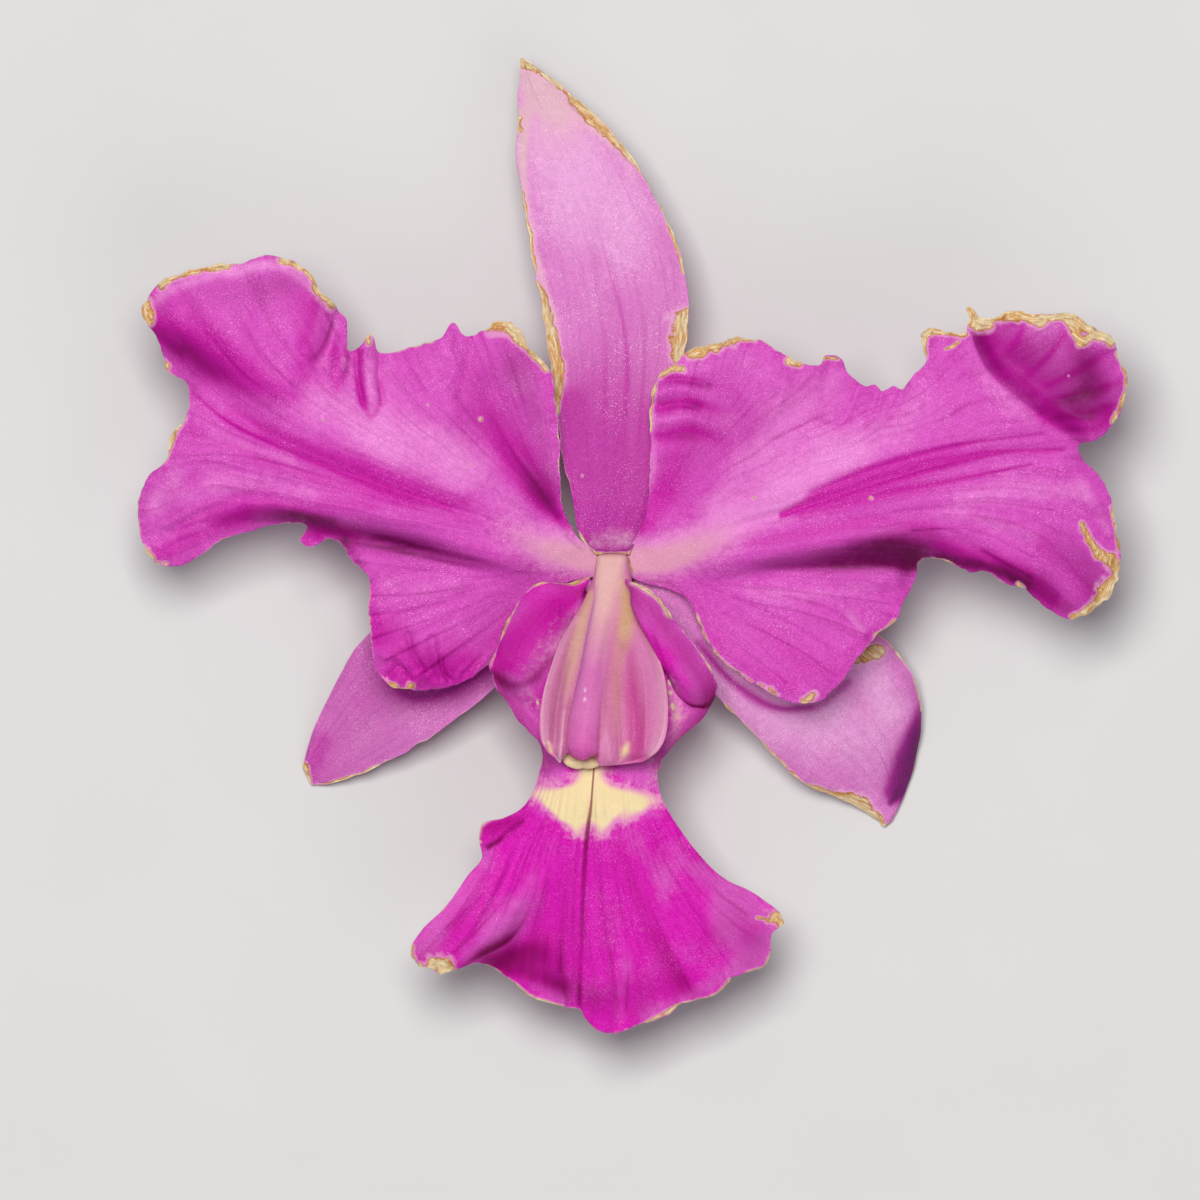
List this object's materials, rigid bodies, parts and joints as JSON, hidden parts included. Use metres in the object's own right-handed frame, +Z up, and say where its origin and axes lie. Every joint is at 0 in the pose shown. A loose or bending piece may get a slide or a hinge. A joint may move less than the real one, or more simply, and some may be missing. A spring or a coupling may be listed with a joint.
{
  "type": "cattleya orchid",
  "caption": "Picked orchid flower with waved petals, narrow sepals and a trumpet lip, lying face up on its lower sepals and stalk.",
  "frame": {"origin": "middle of the bounding box's underside, on the surface that the flower lies on", "axes": "+Z up, out of the flower's face; +Y towards the upper sepal; +X towards the right petal, seen from above"},
  "size_m": [0.0988, 0.0975, 0.025],
  "materials": {
    "dorsal_sepal": "soft waxy petal tissue with a fine sparkle, pale lilac",
    "left_lateral_sepal": "soft waxy petal tissue with a fine sparkle, pale lilac",
    "right_lateral_sepal": "soft waxy petal tissue with a fine sparkle, pale lilac",
    "left_petal": "soft waxy petal tissue with fine veins and a dried margin, orchid pink",
    "right_petal": "soft waxy petal tissue with fine veins and a dried margin, orchid pink",
    "lip": "velvety magenta tissue with a cream throat",
    "column": "smooth waxy tissue, lilac pink with cream flanks",
    "anther_cap": "waxy cream",
    "flower_stalk": "smooth green plant stalk"
  },
  "bodies": {
    "root": {"dorsal_sepal": "dorsal_sepal", "left_lateral_sepal": "left_lateral_sepal", "right_lateral_sepal": "right_lateral_sepal", "left_petal": "left_petal", "right_petal": "right_petal", "lip": "lip", "column": "column", "anther_cap": "anther_cap", "flower_stalk": "flower_stalk"}
  },
  "joints": []
}
